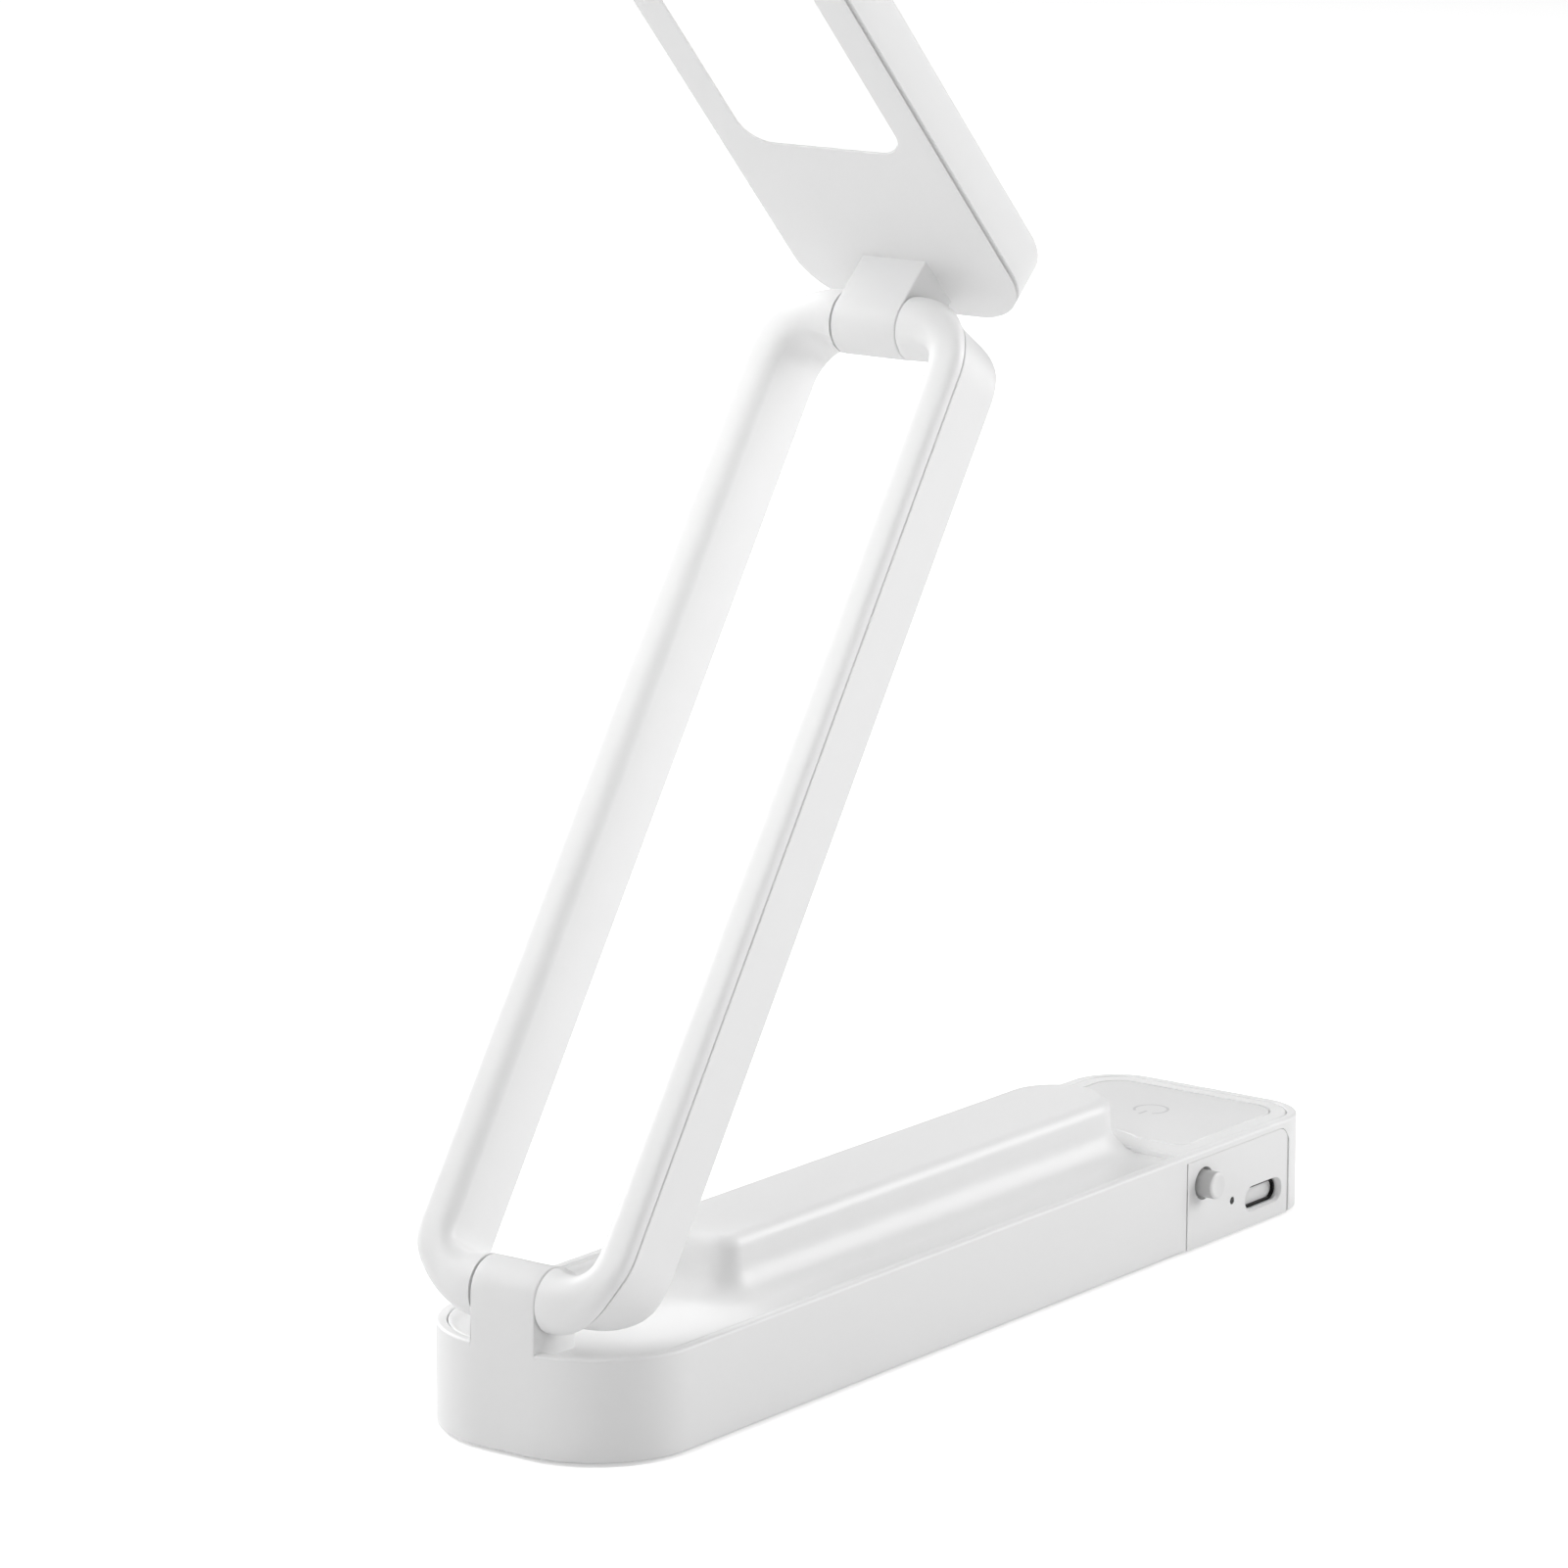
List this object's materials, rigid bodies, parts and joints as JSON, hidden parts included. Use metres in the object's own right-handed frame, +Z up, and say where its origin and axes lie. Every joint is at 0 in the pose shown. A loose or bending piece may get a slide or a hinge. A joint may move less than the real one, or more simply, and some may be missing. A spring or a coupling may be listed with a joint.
{
  "type": "folding rechargeable LED desk lamp",
  "caption": "Folding white LED desk lamp: slim base with a parking ridge, hinged open-loop arm and flat panel light head.",
  "frame": {"origin": "centre of the base's footprint, on the plane of the grip pad the lamp rests on", "axes": "+Z up from the resting plane; +X along the base from the hinge end towards the touch end; the charging socket faces -Y"},
  "size_m": [0.188, 0.0426, 0.2695],
  "materials": {
    "shell_white": "fine satin moulded ABS",
    "touch_white": "smooth half-gloss white touch plate",
    "button_white": "satin light grey-white button",
    "diffuser_milk": "milky light-spreading acrylic",
    "reflector_white": "bright matt white",
    "led_board_white": "white solder mask",
    "led_yellow": "yellow phosphor",
    "grip_rubber": "matt soft grey rubber",
    "screw_steel": "plated steel",
    "socket_steel": "satin stainless sheet",
    "board_green": "green solder mask",
    "chip_black": "black moulding compound",
    "switch_grey": "dark grey moulded plastic",
    "cell_wrap": "shrink-wrapped metal can",
    "wire_black": "black flexible insulation"
  },
  "bodies": {
    "base": {"base_shell": "shell_white", "top_deck": "shell_white", "base_cover": "shell_white", "grip_pad": "grip_rubber", "cover_screws": "screw_steel", "side_panel": "shell_white", "touch_pad": "touch_white", "touch_spring": "screw_steel", "control_board": "board_green", "board_chips": "chip_black", "usb_socket": "socket_steel", "usb_tongue": "chip_black", "switch_body": "switch_grey", "indicator_lens": "diffuser_milk", "battery_cell": "cell_wrap", "battery_tabs": "socket_steel"},
    "button": {"power_button": "button_white", "switch_plunger": "switch_grey"},
    "arm": {"left_rail_rear": "shell_white", "left_rail_front": "shell_white", "right_rail_rear": "shell_white", "right_rail_front": "shell_white", "lower_hinge_pin": "screw_steel", "upper_hinge_pin": "screw_steel", "spring_washers": "screw_steel", "hinge_nuts": "screw_steel", "arm_wire": "wire_black", "arm_screws": "screw_steel"},
    "head": {"head_shell": "shell_white", "head_bezel": "shell_white", "diffuser": "diffuser_milk", "reflector_frame": "reflector_white", "led_board": "led_board_white", "leds": "led_yellow", "head_wire": "wire_black", "head_screws": "screw_steel"}
  },
  "joints": [
    {"name": "arm_fold", "type": "hinge", "parent": "base", "child": "arm", "pos_m": [-0.0834, 0, 0.0221], "axis": [0, 1, 0], "range_deg": [-33.6, 51.6]},
    {"name": "head_fold", "type": "hinge", "parent": "arm", "child": "head", "pos_m": [-0.001, 0, 0.14612], "axis": [0, -1, 0], "range_deg": [-75, 103.1]},
    {"name": "button_press", "type": "slide", "parent": "base", "child": "button", "axis": [0, 1, 0], "range_m": [0, 0.0012], "stiffness_N_per_m": 300}
  ]
}
